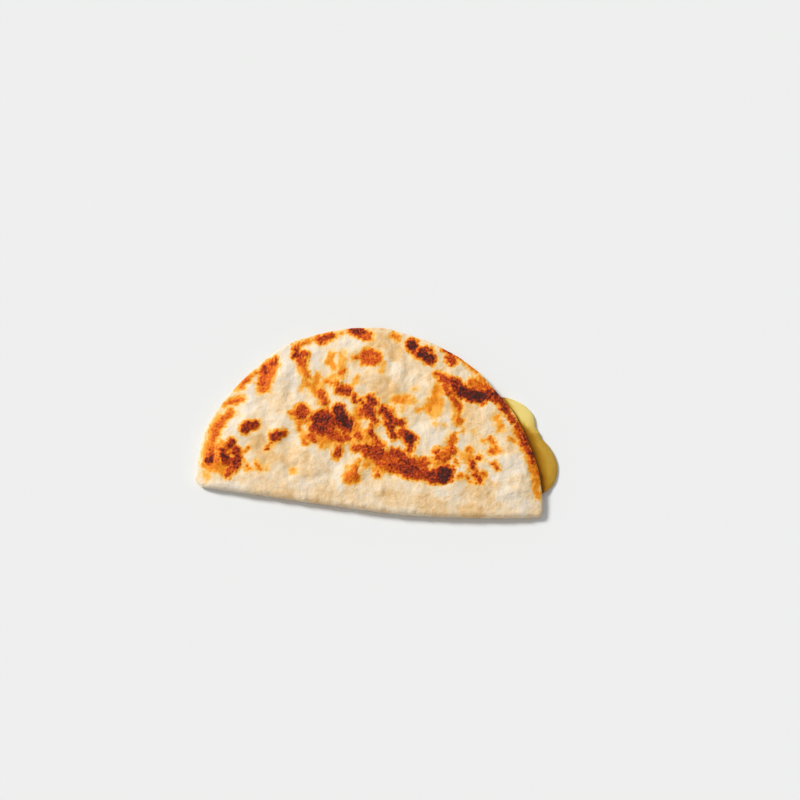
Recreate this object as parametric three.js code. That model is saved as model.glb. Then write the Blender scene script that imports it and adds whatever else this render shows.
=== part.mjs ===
// A quesadilla: one round flour tortilla folded in half over melted cheese, part of which has
// run out between the layers at one end of the open edge. Millimetres, +Z up.
//
// Every shape is first worked out in the fold's own frame: x runs along the fold from the middle
// of the tortilla, y runs from the outermost point of the fold towards the open edge, and z = 0
// is the surface that the food lies on. The finished group is then centred over its origin.

import * as THREE from 'three';
import { ParametricGeometry } from 'three/addons/geometries/ParametricGeometry.js';
import { mergeVertices } from 'three/addons/utils/BufferGeometryUtils.js';

const { lerp, clamp, degToRad } = THREE.MathUtils;

// ---- Driving dimensions ----------------------------------------------------------------

const tortillaWidth = 203; // an eight-inch flour tortilla
const layer = 2.0; // thickness of the tortilla
const foldHeight = 6.4; // over both layers at the middle of the fold
const cornerPinch = 0.82; // the fold's height at its two ends, as a share of foldHeight
const crown = 2.2; // how far the cheese lifts the middle of the upper layer

const foldBow = 5.8; // how far the fold bulges out between its ends
const bowSkew = 0.21; // moves the bulge from the middle towards the right end
const bowPower = 1.4; // 2 would be a parabola, less is more like a blunt V
const leftCorner = 5.0; // rounding of the fold's two ends, seen from above
const rightCorner = 2.5;

const depthShare = 1.088; // depth of the upper layer as a share of the tortilla's radius
const rightFall = 0.13; // share that it has lost at the right end
const leftFull = 0.65; // share that it has gained at the left end, which is squared off
const leftPower = 24; // the higher, the closer to that end the gain is
const lowerShort = 0.04; // the lower layer falls short of the upper by this share
const edgeWaves = [ // slow unevenness of the open edge: share of the depth, waves, phase
  { size: 0.003, waves: 1.75, phase: 2.1 },
  { size: 0.002, waves: 3.5, phase: 0.6 },
];

const clearance = 0.3; // gap between the cheese and the tortilla
const cheeseInset = 3.5; // from the tortilla's open edge to the cheese, where it stays inside
const cheeseRound = 0.8; // depth of the cheese's rounded edge
const cheeseFromBend = 1.2; // from the end of the bend to the cheese
const spillCentre = { x: 4, y: 48 }; // the lobes' angles are taken about this point
const spillLobes = [ // angle in degrees, half its width, and reach past the open edge
  { angle: 13, halfWidth: 10, reach: 10.8 },
  { angle: -4, halfWidth: 12.5, reach: 13.2 },
];
const lobePower = 0.7; // below 1 gives a lobe blunt shoulders
const landStart = 0.85; // shares of a lobe's half width from its middle: outside the first the
const landEnd = 0.55; // lobe stays as high as the layer that it left, inside the other it lies flat
const landWidth = 1.5; // from the lower layer's edge to where the cheese touches the surface
const frontShare = 0.3; // height of a lobe's front, as a share of its height at the open edge
const tuck = 1; // past the upper layer's edge, the cheese stays below that layer for this far

// ---- Facets ----------------------------------------------------------------------------

const stations = 56; // along the fold
const outerBendSteps = 5; // round a quarter of the bend
const innerBendSteps = 3;
const layerSteps = 5; // from the end of the bend to the open edge
const rimShares = [0.97, 0.99, 0.998, 1]; // shares of that way that round the open edge
const cheeseRays = 96; // round the cheese
const rayCrowding = 0.6; // how much closer these are at the spill than on average
const stepShare = 0.5; // shares of the way to the front that the cheese has at most gone when it
const landShare = 0.8; // passes the lower layer's edge, and when it touches the surface
const undercut = { along: 0.8, up: 0.1 }; // the underside's last corner before the front
const domeShares = [0.96, 0.82, 0.55, 0.25]; // from the front back over the top
const bodyShares = [1, 0.75, 0.5, 0.25, 0]; // between the layers, back to the middle
const halvings = 40; // of a search along a ray

// ---- The tortilla's plan ---------------------------------------------------------------

const tortillaRadius = tortillaWidth / 2;

// How far a rounded end of the fold has turned back, at a distance from that end.
function cornerLift(radius, fromEnd) {
  const inside = Math.max(0, radius - fromEnd);
  return radius - Math.sqrt(radius * radius - inside * inside);
}

// y of the fold's outermost line. The share p runs from -1 at the left end to 1 at the right.
function foldLine(p) {
  const skewed = Math.abs(p - bowSkew * (1 - p * p));
  const left = cornerLift(leftCorner, tortillaRadius * (1 + p));
  const right = cornerLift(rightCorner, tortillaRadius * (1 - p));
  return foldBow * skewed ** bowPower + left + right;
}

// Depth of a layer at p, from the fold to its open edge.
function layerDepth(p, upper) {
  const toRight = Math.max(0, p);
  const toLeft = Math.max(0, -p);
  let share = depthShare - rightFall * toRight ** 2 + leftFull * toLeft ** leftPower;
  if (!upper) share -= lowerShort;
  for (const { size, waves, phase } of edgeWaves) {
    share += size * Math.sin(waves * 2 * Math.PI * p + (upper ? phase : -phase));
  }
  return tortillaRadius * share * halfChord(p);
}

// Half the circle's chord at p, as a share of its radius.
function halfChord(p) {
  return Math.sqrt(Math.max(0, 1 - p * p));
}

// Radius of the bend, to the middle of the layer's thickness.
function bendRadius(p) {
  return (foldHeight * lerp(cornerPinch, 1, halfChord(p)) - layer) / 2;
}

// Distance of a point of a layer from the sheet's round edge, measured in the flat sheet.
function insetFromRim(p, w) {
  return tortillaRadius * (1 - Math.hypot(p, w * halfChord(p)));
}

// How far the filling lifts the upper layer, at the share w of its depth.
function crownLift(p, w) {
  return crown * halfChord(p) * Math.sin(Math.PI * clamp(w, 0, 1));
}

// ---- The tortilla: a thin round sheet bent over ----------------------------------------

// A point of the folded sheet. p goes along the fold, and w from the lower layer's open edge
// (-1) through the fold (0) to the upper layer's (1). side is 1 on the outside and -1 inside.
function foldedPoint(p, w, side, target) {
  const up = w > 0 ? 1 : -1;
  const fromFold = Math.abs(w) * layerDepth(p, w > 0);
  const radius = bendRadius(p);
  const turn = Math.min(fromFold / radius, Math.PI / 2);
  const straight = Math.max(0, fromFold - radius * Math.PI / 2);

  // The sheet's edge is half round: its thickness falls to nothing over half a thickness.
  const intoRound = clamp(1 - insetFromRim(p, w) / (layer / 2), 0, 1);
  const offset = side * (layer / 2) * Math.sqrt(1 - intoRound * intoRound);

  const middleY = foldLine(p) + layer / 2 + radius * (1 - Math.cos(turn)) + straight;
  const middleZ = layer / 2 + radius + up * radius * Math.sin(turn) + crownLift(p, w);
  return target.set(
    tortillaRadius * p,
    middleY - offset * Math.cos(turn),
    middleZ + up * offset * Math.sin(turn),
  );
}

// The lines that a section has corners on, numbered from 0 at the fold over 1 at the end of
// the bend to 2 at the open edge.
function sectionLines(bendSteps) {
  const bend = Array.from({ length: bendSteps }, (_, i) => (i + 1) / bendSteps);
  const flat = Array.from(
    { length: layerSteps - 1 },
    (_, i) => 1 + rimShares[0] * (i + 1) / layerSteps,
  );
  return [...bend, ...flat, ...rimShares.map((share) => 1 + share)];
}

// The share w that a numbered line has at p. Lines below 0 are the lower layer's.
function lineShare(p, line) {
  const upper = line > 0;
  const bendEnd = Math.min(0.5, bendRadius(p) * Math.PI / 2 / layerDepth(p, upper));
  const number = Math.abs(line);
  const share = number < 1 ? bendEnd * number : lerp(bendEnd, 1, number - 1);
  return upper ? share : -share;
}

// The closed section: over the outside from one open edge to the other, and back inside.
function sectionLoop() {
  const outer = sectionLines(outerBendSteps);
  const inner = sectionLines(innerBendSteps).slice(0, -1); // both sides share the rim itself
  const across = (lines) => [...lines.toReversed(), 0, ...lines.map((line) => -line)];
  const outside = across(outer).map((line) => ({ line, side: 1 }));
  const inside = across(inner).reverse().map((line) => ({ line, side: -1 }));
  return [...outside, ...inside, outside[0]];
}

function tortillaGeometry() {
  const loop = sectionLoop();
  const slices = loop.length - 1;
  const surface = (u, v, target) => {
    const { line, side } = loop[Math.round(u * slices)];
    const p = -Math.cos(Math.PI * v);
    foldedPoint(p, lineShare(p, line), side, target);
  };
  return closed(new ParametricGeometry(surface, slices, stations));
}

// ---- The cheese: what fills the fold, and what has run out -----------------------------

// How far the ray at an angle goes from spillCentre before inside(x, y) stops being true.
function rayLength(angle, inside) {
  let near = 0;
  let far = tortillaWidth;
  for (let i = 0; i < halvings; i += 1) {
    const middle = (near + far) / 2;
    const x = spillCentre.x + middle * Math.cos(angle);
    const y = spillCentre.y + middle * Math.sin(angle);
    if (inside(x, y)) near = middle;
    else far = middle;
  }
  return near;
}

// Whether a point lies over a layer, at least inset from its open edge and from the fold.
function overLayer(upper, inset, fromFold) {
  return (x, y) => {
    const p = x / tortillaRadius;
    if (Math.abs(p) >= 1) return false;
    const depth = y - foldLine(p);
    return depth > fromFold && insetFromRim(p, depth / layerDepth(p, upper)) > inset;
  };
}

// How far an angle is from the middle of a lobe, as a share of the lobe's half width.
function offLobe(angle, lobe) {
  return Math.abs(angle - degToRad(lobe.angle)) / degToRad(lobe.halfWidth);
}

// Reach of the cheese past the open edge, where two lobes flow together as the root of the sum
// of their squares. Elsewhere it is short of the edge.
function spillReach(angle) {
  const reaches = spillLobes.map((lobe) => {
    const fullness = Math.max(0, 1 - offLobe(angle, lobe) ** 2) ** lobePower;
    return (lobe.reach + cheeseInset) * fullness;
  });
  return Math.hypot(...reaches) - cheeseInset;
}

// How far the cheese has come down past the lower layer's edge: 1 where it lies on the surface.
function spillDrop(angle) {
  const nearest = Math.min(...spillLobes.map((lobe) => offLobe(angle, lobe)));
  return clamp((landStart - nearest) / (landStart - landEnd), 0, 1);
}

// z of the upper layer's inner face over a point, less the clearance.
function pocketTop(x, y) {
  const p = clamp(x / tortillaRadius, -1, 1);
  const w = (y - foldLine(p)) / Math.max(layerDepth(p, true), layer);
  return 2 * bendRadius(p) + crownLift(p, w) - clearance;
}

// The rings of the cheese along one ray, from the middle of its underside to the middle of its
// top, as distances from spillCentre and heights.
function cheeseRings(angle) {
  const foldSide = layer / 2 + bendRadius(0) + cheeseFromBend;
  const reachOver = (upper, inset) => rayLength(angle, overLayer(upper, inset, foldSide));
  const body = reachOver(false, cheeseInset);
  const upperRim = reachOver(true, 0);
  const spilt = upperRim + spillReach(angle) - body;
  const tip = body + Math.max(cheeseRound, spilt);

  // Past the lower layer's edge the cheese comes down to the surface.
  const bottom = layer + clearance;
  const drop = spillDrop(angle);
  const step = Math.min(reachOver(false, -clearance), lerp(body, tip, stepShare));
  const landed = Math.min(reachOver(false, -landWidth), lerp(body, tip, landShare));
  const landedZ = bottom * (1 - drop);

  const topAt = (r) => pocketTop(
    spillCentre.x + r * Math.cos(angle),
    spillCentre.y + r * Math.sin(angle),
  );
  const bodyTop = topAt(body);
  const tipZ = lerp((bottom + bodyTop) / 2, bodyTop * frontShare, drop);
  const dome = (share) => {
    const r = lerp(body, tip, share);
    const z = lerp(tipZ, bodyTop, Math.sqrt(1 - share * share));
    return { r, z: r < upperRim + tuck ? Math.min(z, topAt(r)) : z };
  };
  const inBody = (share) => ({ r: body * share, z: topAt(body * share) });

  return [
    { r: 0, z: bottom },
    { r: body * 0.5, z: bottom },
    { r: body, z: bottom },
    { r: step, z: bottom },
    { r: landed, z: landedZ },
    { r: lerp(landed, tip, undercut.along), z: lerp(landedZ, tipZ, undercut.up) },
    { r: tip, z: tipZ },
    ...domeShares.map(dome),
    ...bodyShares.map(inBody),
  ];
}

// The rays' angles, from -180 to 180 degrees and closest together round 0.
function rayAngle(ray) {
  const even = Math.PI * (2 * ray / cheeseRays - 1);
  return even - rayCrowding * Math.sin(even);
}

function cheeseGeometry() {
  const rays = Array.from({ length: cheeseRays }, (_, ray) => cheeseRings(rayAngle(ray)));
  const stacks = rays[0].length - 1;
  const surface = (u, v, target) => {
    const ray = Math.round(u * cheeseRays) % cheeseRays;
    const { r, z } = rays[ray][Math.round(v * stacks)];
    const angle = rayAngle(ray);
    target.set(
      spillCentre.x + r * Math.cos(angle),
      spillCentre.y + r * Math.sin(angle),
      z,
    );
  };
  return closed(new ParametricGeometry(surface, cheeseRays, stacks));
}

// ---- Shared helpers --------------------------------------------------------------------

// A parametric grid as one closed surface: seams and poles are welded, and the triangles that
// have shrunk to a line there are left out.
function closed(grid) {
  grid.deleteAttribute('normal');
  grid.deleteAttribute('uv');
  const welded = mergeVertices(grid, 1e-3);
  const corners = welded.index.array;
  const kept = [];
  for (let i = 0; i < corners.length; i += 3) {
    const [a, b, c] = corners.subarray(i, i + 3);
    if (a !== b && b !== c && c !== a) kept.push(a, b, c);
  }
  welded.setIndex(kept);
  welded.computeVertexNormals();
  return welded;
}

function part(name, geometry, colour, roughness) {
  const material = new THREE.MeshStandardMaterial({ color: colour, roughness, metalness: 0 });
  const mesh = new THREE.Mesh(geometry, material);
  mesh.name = name;
  return mesh;
}

// ---- Assembly --------------------------------------------------------------------------

const quesadilla = new THREE.Group();
quesadilla.add(part('tortilla', tortillaGeometry(), 0xe8d3ae, 0.65));
quesadilla.add(part('cheese', cheeseGeometry(), 0xe6c25a, 0.35));

// The origin is under the middle of the whole.
const middle = new THREE.Box3().setFromObject(quesadilla).getCenter(new THREE.Vector3());
quesadilla.position.set(-middle.x, -middle.y, 0);

export default quesadilla;
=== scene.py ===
# %% [markdown]
# # A quesadilla
#
# A quesadilla is a round flour tortilla folded in half over cheese and toasted in a dry pan. The
# sheet is soft, so it folds like thick cloth. The cheese melts, glues the two layers together and
# runs out where they are open. The pan browns the dough only where it touches, which is on the
# tops of its bubbles.
#
# Two pieces are made here, and both are surfaces worked out with numpy: the tortilla and the
# cheese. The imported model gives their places, and two plain solids that they stand for.

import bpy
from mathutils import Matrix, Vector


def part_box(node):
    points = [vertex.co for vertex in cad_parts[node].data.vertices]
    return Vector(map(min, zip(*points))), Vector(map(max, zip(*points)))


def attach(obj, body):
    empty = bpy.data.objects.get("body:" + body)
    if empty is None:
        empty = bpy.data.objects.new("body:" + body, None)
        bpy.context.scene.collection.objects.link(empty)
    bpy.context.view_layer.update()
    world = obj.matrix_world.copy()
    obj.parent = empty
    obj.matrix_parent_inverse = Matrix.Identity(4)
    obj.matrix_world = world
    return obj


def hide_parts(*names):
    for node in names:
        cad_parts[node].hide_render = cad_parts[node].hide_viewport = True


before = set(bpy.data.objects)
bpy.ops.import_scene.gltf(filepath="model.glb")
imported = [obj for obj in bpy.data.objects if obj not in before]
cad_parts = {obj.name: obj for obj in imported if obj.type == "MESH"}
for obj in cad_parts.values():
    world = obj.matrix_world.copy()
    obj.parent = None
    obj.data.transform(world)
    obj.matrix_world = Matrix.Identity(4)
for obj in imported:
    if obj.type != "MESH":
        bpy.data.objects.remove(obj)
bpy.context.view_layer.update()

# %% [markdown]
# ## The sizes that everything starts from
#
# A shape made by formula needs few numbers. The flat tortilla is a disc, so its radius is half
# the fold's length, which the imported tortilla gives. The other sizes say how that disc is folded.
# They are in millimetres, in the fold's own frame: x along the fold from its middle, y from the
# fold's outermost point towards the open edge, z up from the surface.

# %% Sizes
import math

import bpy
import numpy as np
from mathutils import Vector

MM = 0.001
low, high = (np.array(corner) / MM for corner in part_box("tortilla"))
RADIUS = (high[0] - low[0]) / 2
FOLD_MIDDLE = np.array([(low[0] + high[0]) / 2, low[1], low[2]])

LAYER = 2.0  # thickness of the dough
THIN_EDGE = 0.75  # its thickness at the open edge, as a share of that
FOLD_HEIGHT = 6.4  # over both layers at the middle of the fold
CORNER_PINCH = 0.82  # the same at the fold's ends, as a share of that
CROWN = 2.2  # how far the cheese lifts the middle of the upper layer
GAP = FOLD_HEIGHT - 2 * LAYER  # between the layers at the open edge

FOLD_BOW = 5.8  # how far the fold bulges out between its ends
BOW_SKEW = 0.21  # moves the bulge from the middle towards the right end
BOW_POWER = 1.4  # 2 would be a parabola, less is more like a blunt V
LEFT_CORNER, RIGHT_CORNER = 5.0, 2.5  # rounding of the fold's ends, seen from above
DEPTH = 1.088  # depth of the upper layer as a share of the radius
RIGHT_FALL = 0.13  # share that it has lost at the right end
LEFT_FULL, LEFT_POWER = 0.65, 24  # share that it gains at the squared left end, and how late
LOWER_SHORT = 0.04  # the lower layer falls short of the upper one by this share
print(f"tortilla {2 * RADIUS:.1f} mm wide, {high[1] - low[1]:.1f} mm deep folded")

# %% [markdown]
# ## Unevenness
#
# Nothing that is rolled and toasted by hand is even. All of the slow and quick unevenness comes
# from one function of smooth random values, because it gives the same result on every run and
# works on whole arrays. Each octave halves the size and is turned, so that its grid never shows.

# %% Smooth random values
def smooth_step(start, end, value):
    """0 before start, 1 after end, and between them 3t^2 - 2t^3 of the share t of the way."""
    t = np.clip((value - start) / (end - start), 0, 1)
    return t * t * (3 - 2 * t)


def unevenness(x, y, size, seed, octaves=2):
    """Smooth random values from about -1 to 1. Each octave is a table of random numbers, one for
    every square of a grid of the given size, blended between the four nearest corners."""
    total, weight = 0.0, 1.0
    for octave in range(octaves):
        table = np.random.default_rng(seed + octave).uniform(-1, 1, (128, 128))
        turn = 0.6 + 1.1 * octave
        u = (x * math.cos(turn) - y * math.sin(turn)) / size
        v = (x * math.sin(turn) + y * math.cos(turn)) / size
        column, row = np.floor(u).astype(int), np.floor(v).astype(int)
        right, up = smooth_step(0, 1, u - column), smooth_step(0, 1, v - row)
        corner = lambda dx, dy: table[(column + dx) % 128, (row + dy) % 128]
        lower = corner(0, 0) * (1 - right) + corner(1, 0) * right
        upper = corner(0, 1) * (1 - right) + corner(1, 1) * right
        total = total + weight * (lower * (1 - up) + upper * up)
        size, weight = size / 2, weight / 2
    return total / (2 - 2 * weight)


def blisters(x, y, size, seed):
    """Round bumps, one somewhere in every square of a grid of this size: 1 on a bump's top and
    falling with the distance to it, to about 0 between them."""
    chance = np.random.default_rng(seed).uniform(0.1, 0.9, (2, 128, 128))
    column, row = np.floor(x / size).astype(int), np.floor(y / size).astype(int)
    nearest = np.full(np.shape(x), np.inf)
    for dx in (-1, 0, 1):
        for dy in (-1, 0, 1):
            place = chance[:, (column + dx) % 128, (row + dy) % 128]
            off_x = x / size - column - dx - place[0]
            off_y = y / size - row - dy - place[1]
            nearest = np.minimum(nearest, np.hypot(off_x, off_y))
    return np.clip(1 - nearest / 0.9, 0, 1)


print("spread of the unevenness:", np.round(np.std(unevenness(*np.mgrid[0:99, 0:99], 9.0, 1)), 2))

# %% [markdown]
# ## The fold, seen from above
#
# The disc isn't folded quite in half: the upper layer reaches a little further than the lower one,
# and the fold bows out between its ends. These formulas are the same as the solid's, so the piece
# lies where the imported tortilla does. p is the share of the way from the middle of the fold to
# its ends, from -1 on the left to 1 on the right.

# %% The plan
def half_chord(p):
    """Half the disc's chord at p as a share of its radius: the root of 1 - p^2."""
    return np.sqrt(np.clip(1 - p * p, 0, None))


def corner_lift(radius, from_end):
    """How far an arc of this radius has turned back at a distance from the fold's end."""
    inside = np.clip(radius - from_end, 0, radius)
    return radius - np.sqrt(radius * radius - inside * inside)


def fold_line(p):
    """y of the fold's outermost line: a skewed bow, with the lift of its two rounded ends."""
    skewed = np.abs(p - BOW_SKEW * (1 - p * p))
    left = corner_lift(LEFT_CORNER, RADIUS * (1 + p))
    right = corner_lift(RIGHT_CORNER, RADIUS * (1 - p))
    return FOLD_BOW * skewed**BOW_POWER + (left + right)


def depth_share(p, upper):
    """Depth of a layer over half the chord, in disc radii: more at the squared left end, less at
    the right end and in the lower layer, and two slow sine waves on top."""
    to_right, to_left = np.clip(p, 0, None), np.clip(-p, 0, None)
    share = DEPTH - RIGHT_FALL * to_right**2 + LEFT_FULL * to_left**LEFT_POWER
    phase = np.where(upper, 1, -1)
    share = share + 0.003 * np.sin(3.5 * np.pi * p + 2.1 * phase)
    share = share + 0.002 * np.sin(7.0 * np.pi * p + 0.6 * phase)
    return share - np.where(upper, 0, LOWER_SHORT)


def bend_radius(p):
    """Radius of the bend to the middle of the dough: the height less one layer, halved."""
    return (FOLD_HEIGHT * (CORNER_PINCH + (1 - CORNER_PINCH) * half_chord(p)) - LAYER) / 2


middle_depth = RADIUS * float(depth_share(np.array(0.0), True))
print(f"upper layer {middle_depth:.1f} mm deep in the middle")

# %% [markdown]
# ## Where the pan has browned it
#
# Browning is the look of a quesadilla, and it isn't random: it lies where the sheet bulged onto
# the hot pan. It could be a noise pattern, but then no patch would be where the real one is. So
# each patch is a stroke, as if laid on with a brush: a heat, half a width, and one or more points.
# The heats are the stages that dough goes through, from a golden blush to char.

# %% Stages of browning
FAINT, BLUSH, GOLD, ORANGE, RUST = 0.12, 0.22, 0.30, 0.40, 0.51
BROWN, UMBER, DARK, CHAR = 0.63, 0.69, 0.75, 0.90
print("browning goes from", FAINT, "to", CHAR)

# %% Strokes at the left end
LEFT_END = [
    (DARK, 1.6, (-82.4, 33.5), (-83.4, 31)),
    (DARK, 2.0, (-86.6, 27.5), (-86.2, 24)),
    (DARK, 1.9, (-79.6, 29.5), (-78.6, 25), (-79.2, 19)),
    (BROWN, 2.2, (-85.2, 22.5), (-81, 20.5)),
    (RUST, 2.0, (-83, 14.5), (-82.2, 17)),
    (DARK, 2.3, (-95.4, 21.8), (-93.6, 22.4)),
    (RUST, 1.8, (-92.9, 29), (-93.6, 25)),
    (GOLD, 3.2, (-94.8, 33), (-96.2, 25), (-94.8, 19), (-88.2, 17.5), (-81.8, 16.5)),
    (GOLD, 3.4, (-87.2, 31), (-88.7, 21)),
    (ORANGE, 2.4, (-85.6, 51), (-89.6, 46.5), (-92.4, 40), (-93.6, 35)),
    (GOLD, 2.6, (-88.4, 49), (-93, 42), (-94.4, 34)),
    (ORANGE, 1.6, (-86.7, 57.5), (-83.2, 58.5), (-79.2, 60.5)),
    (GOLD, 2.2, (-89.2, 56.5), (-81.2, 60)),
    (GOLD, 2.2, (-80.4, 67.4), (-78.4, 71.5), (-76, 75)),
    (ORANGE, 1.6, (-80, 68.6), (-77.4, 73)),
    (DARK, 2.6, (-75.7, 42.5), (-74.7, 43.5)),
    (DARK, 1.8, (-71, 44.8), (-70, 45.2)),
    (DARK, 2.3, (-58.2, 39), (-56.7, 39.5)),
    (BROWN, 1.5, (-53.7, 41.3), (-52.7, 41.8)),
    (DARK, 0.3, (-61.4, 31.5), (-61, 32)),
    (ORANGE, 0.5, (-60, 33), (-57, 35)),
    (ORANGE, 0.9, (-74.2, 29), (-72.7, 31)),
    (ORANGE, 0.8, (-66.8, 22.5), (-65, 20.2), (-64, 18.6)),
    (ORANGE, 0.9, (-73.2, 20.5), (-71.2, 18.5), (-69.7, 19.2)),
    (GOLD, 1.3, (-46, 19.5), (-44.4, 19.3)),
    (BLUSH, 1.0, (-60.7, 19), (-60.7, 21)),
    (BLUSH, 2.2, (-96.2, 14), (-94.2, 11)),
]
print(len(LEFT_END), "strokes")

# %% Strokes along the upper left of the open edge
UPPER_LEFT = [
    (BROWN, 1.2, (-62.4, 86), (-63.5, 83)),
    (ORANGE, 3.9, (-64.2, 82), (-65.6, 77), (-66.9, 73), (-67.6, 69)),
    (RUST, 1.9, (-67, 80), (-68, 75), (-68.6, 70.5)),
    (BROWN, 1.0, (-68.5, 81), (-66.7, 78)),
    (ORANGE, 1.0, (-72.7, 77.5), (-68.7, 79)),
    (BROWN, 1.4, (-51.2, 93.5), (-50, 91)),
    (DARK, 1.5, (-50.5, 89.8), (-47.7, 90)),
    (BROWN, 1.3, (-45.9, 90.8), (-44.5, 90.3)),
    (RUST, 2.5, (-47.7, 87.5), (-45.7, 84.5)),
    (ORANGE, 1.8, (-45.7, 83.5), (-44.2, 80), (-42.7, 77)),
    (GOLD, 2.0, (-41.7, 73.5), (-39.2, 71), (-36.2, 67.5)),
    (GOLD, 1.8, (-36.4, 78), (-37.7, 74)),
    (BLUSH, 1.8, (-44.7, 72), (-45.7, 68.5)),
    (RUST, 2.1, (-34.2, 68.4), (-32.7, 65.6), (-31.5, 62.6)),
    (BROWN, 1.8, (-36.6, 100.4), (-34.2, 102.2), (-31, 103.8)),
    (ORANGE, 2.4, (-36.8, 99.6), (-31.6, 103)),
    (ORANGE, 1.0, (-50.2, 96.2), (-44.2, 99), (-38, 101.8)),
    (GOLD, 0.9, (-31, 104), (-24, 106.2)),
    (GOLD, 2.2, (-29.4, 92), (-30.4, 87.5), (-28, 83.4)),
    (ORANGE, 1.6, (-23.2, 81.3), (-21, 82)),
    (FAINT, 2.0, (-22.2, 78), (-21.2, 88.5), (-18.2, 89.5)),
    (ORANGE, 0.9, (-31.2, 75), (-28.2, 74)),
    (RUST, 1.2, (-25.7, 73.5), (-24.2, 72)),
    (BROWN, 1.4, (-22.4, 70.2), (-18.2, 70.8)),
    (RUST, 2.8, (-22.6, 70.4), (-18.4, 70.4)),
    (RUST, 1.4, (-17.2, 72), (-16.2, 69)),
    (BROWN, 0.9, (-14.2, 68), (-13.2, 64.5)),
    (GOLD, 1.2, (-14.2, 75), (-13.2, 79)),
    (DARK, 2.1, (-18.2, 108.4), (-13.8, 107.2)),
    (RUST, 2.5, (-17, 107.6), (-9.8, 105.4)),
    (ORANGE, 1.4, (-9.7, 104.8), (-8, 104)),
    (RUST, 2.0, (-11, 93.4), (-6.6, 94.4)),
    (RUST, 1.8, (-10, 90), (-4.4, 89.4)),
    (ORANGE, 1.5, (-2.2, 90.5), (-3, 94)),
    (ORANGE, 4.4, (-9.6, 92.2), (-3.8, 91.8)),
    (ORANGE, 1.1, (-16.2, 91), (-13.2, 91.3)),
    (BLUSH, 1.8, (1.8, 88.5), (0.3, 84)),
    (ORANGE, 1.8, (5.3, 107.5), (7.8, 106.5)),
]
print(len(UPPER_LEFT), "strokes")

# %% Strokes of the great dark patch left of the middle
DARK_PATCH = [
    (BROWN, 3.6, (-43.2, 56.3), (-42.7, 55)),
    (RUST, 2.0, (-46.2, 54), (-45.7, 52.5)),
    (ORANGE, 1.4, (-49.7, 53.5), (-48.7, 54)),
    (ORANGE, 1.2, (-45.2, 49), (-44.2, 45)),
    (ORANGE, 1.0, (-42.2, 49), (-39.2, 51)),
    (ORANGE, 1.5, (-40.2, 39.5), (-39.2, 36.8)),
    (DARK, 3.1, (-34.2, 52), (-29.8, 54.5)),
    (CHAR, 2.9, (-22.7, 58.5), (-21.2, 54.5)),
    (CHAR, 2.6, (-18.2, 52.5), (-16, 50.8)),
    (UMBER, 3.1, (-28.2, 51), (-23.2, 51.5)),
    (BROWN, 3.3, (-34.7, 46.5), (-27.2, 46)),
    (DARK, 1.7, (-35.2, 48), (-30.2, 47)),
    (RUST, 3.0, (-29.2, 44.5), (-21.7, 42.5)),
    (BROWN, 1.8, (-20.2, 48.5), (-15.2, 47)),
    (RUST, 1.4, (-37.7, 42), (-35.2, 38.5)),
    (GOLD, 2.4, (-36.2, 41), (-29.7, 39), (-23.2, 40.5)),
    (GOLD, 1.5, (-30.2, 37), (-30.4, 35.5)),
    (RUST, 1.6, (-19.2, 40.5), (-16.7, 41.5)),
    (RUST, 1.2, (-19.5, 37), (-20, 35.5)),
    (BROWN, 1.8, (-20.2, 33.8), (-20.4, 31.4)),
    (RUST, 1.3, (-17.2, 45), (-14.2, 42)),
]
print(len(DARK_PATCH), "strokes")

# %% Strokes above the band
ABOVE_BAND = [
    (DARK, 2.2, (-4.2, 66.8), (-2.7, 65)),
    (BROWN, 0.8, (-9.2, 65), (-8.2, 63.5)),
    (DARK, 3.1, (-5.4, 60.5), (-4.2, 58.5)),
    (BROWN, 1.6, (-2.5, 56.5), (-0.5, 52.8)),
    (RUST, 1.4, (-9, 59), (-8.7, 56.5)),
    (DARK, 1.8, (3.8, 61.2), (4.8, 60.6)),
    (DARK, 2.0, (6.8, 57.8), (8.8, 56.3)),
    (BROWN, 1.6, (10.3, 55.2), (15.3, 53.8)),
    (DARK, 1.5, (7.3, 53.3), (9.8, 50), (11.1, 45.8)),
    (ORANGE, 1.6, (2.3, 58.5), (9.3, 60.5)),
    (CHAR, 1.9, (19.6, 46), (21.6, 45)),
    (BROWN, 2.9, (17, 47.6), (21.8, 44.4)),
    (BROWN, 1.4, (22.1, 41.5), (21.4, 38.5)),
    (BROWN, 1.6, (-9.5, 44.3), (-8.4, 43.6)),
    (BROWN, 1.2, (-2.9, 47), (-1.6, 44.6)),
    (RUST, 1.2, (0.8, 42.6), (1.8, 41.4)),
    (RUST, 1.0, (-2.2, 50.6), (-1.6, 49)),
    (BLUSH, 3.4, (-12.2, 45), (-5.2, 40.5), (1.8, 38.5)),
    (GOLD, 1.7, (-10.7, 60), (-12.7, 54), (-11.2, 49)),
    (GOLD, 2.3, (10.3, 67.3), (15.3, 67.3)),
    (GOLD, 1.5, (13.3, 69.8), (17.8, 70.2)),
    (BLUSH, 1.3, (14.6, 63.5), (15.3, 61.5)),
    (GOLD, 1.2, (23.3, 62.3), (24.8, 63)),
    (BLUSH, 1.2, (19.8, 75), (21.8, 75.5)),
    (GOLD, 2.6, (33.8, 76.5), (32.3, 71), (30.3, 65)),
    (GOLD, 1.5, (36.3, 68.5), (35.3, 67)),
    (GOLD, 1.3, (27.3, 63.5), (30.8, 62.8)),
    (BLUSH, 1.5, (33.8, 55.2), (35.8, 54.6)),
    (BLUSH, 1.4, (39.3, 55.2), (40.8, 54.5)),
    (BLUSH, 1.2, (57.3, 53.2), (59.3, 53.6)),
]
print(len(ABOVE_BAND), "strokes")

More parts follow.
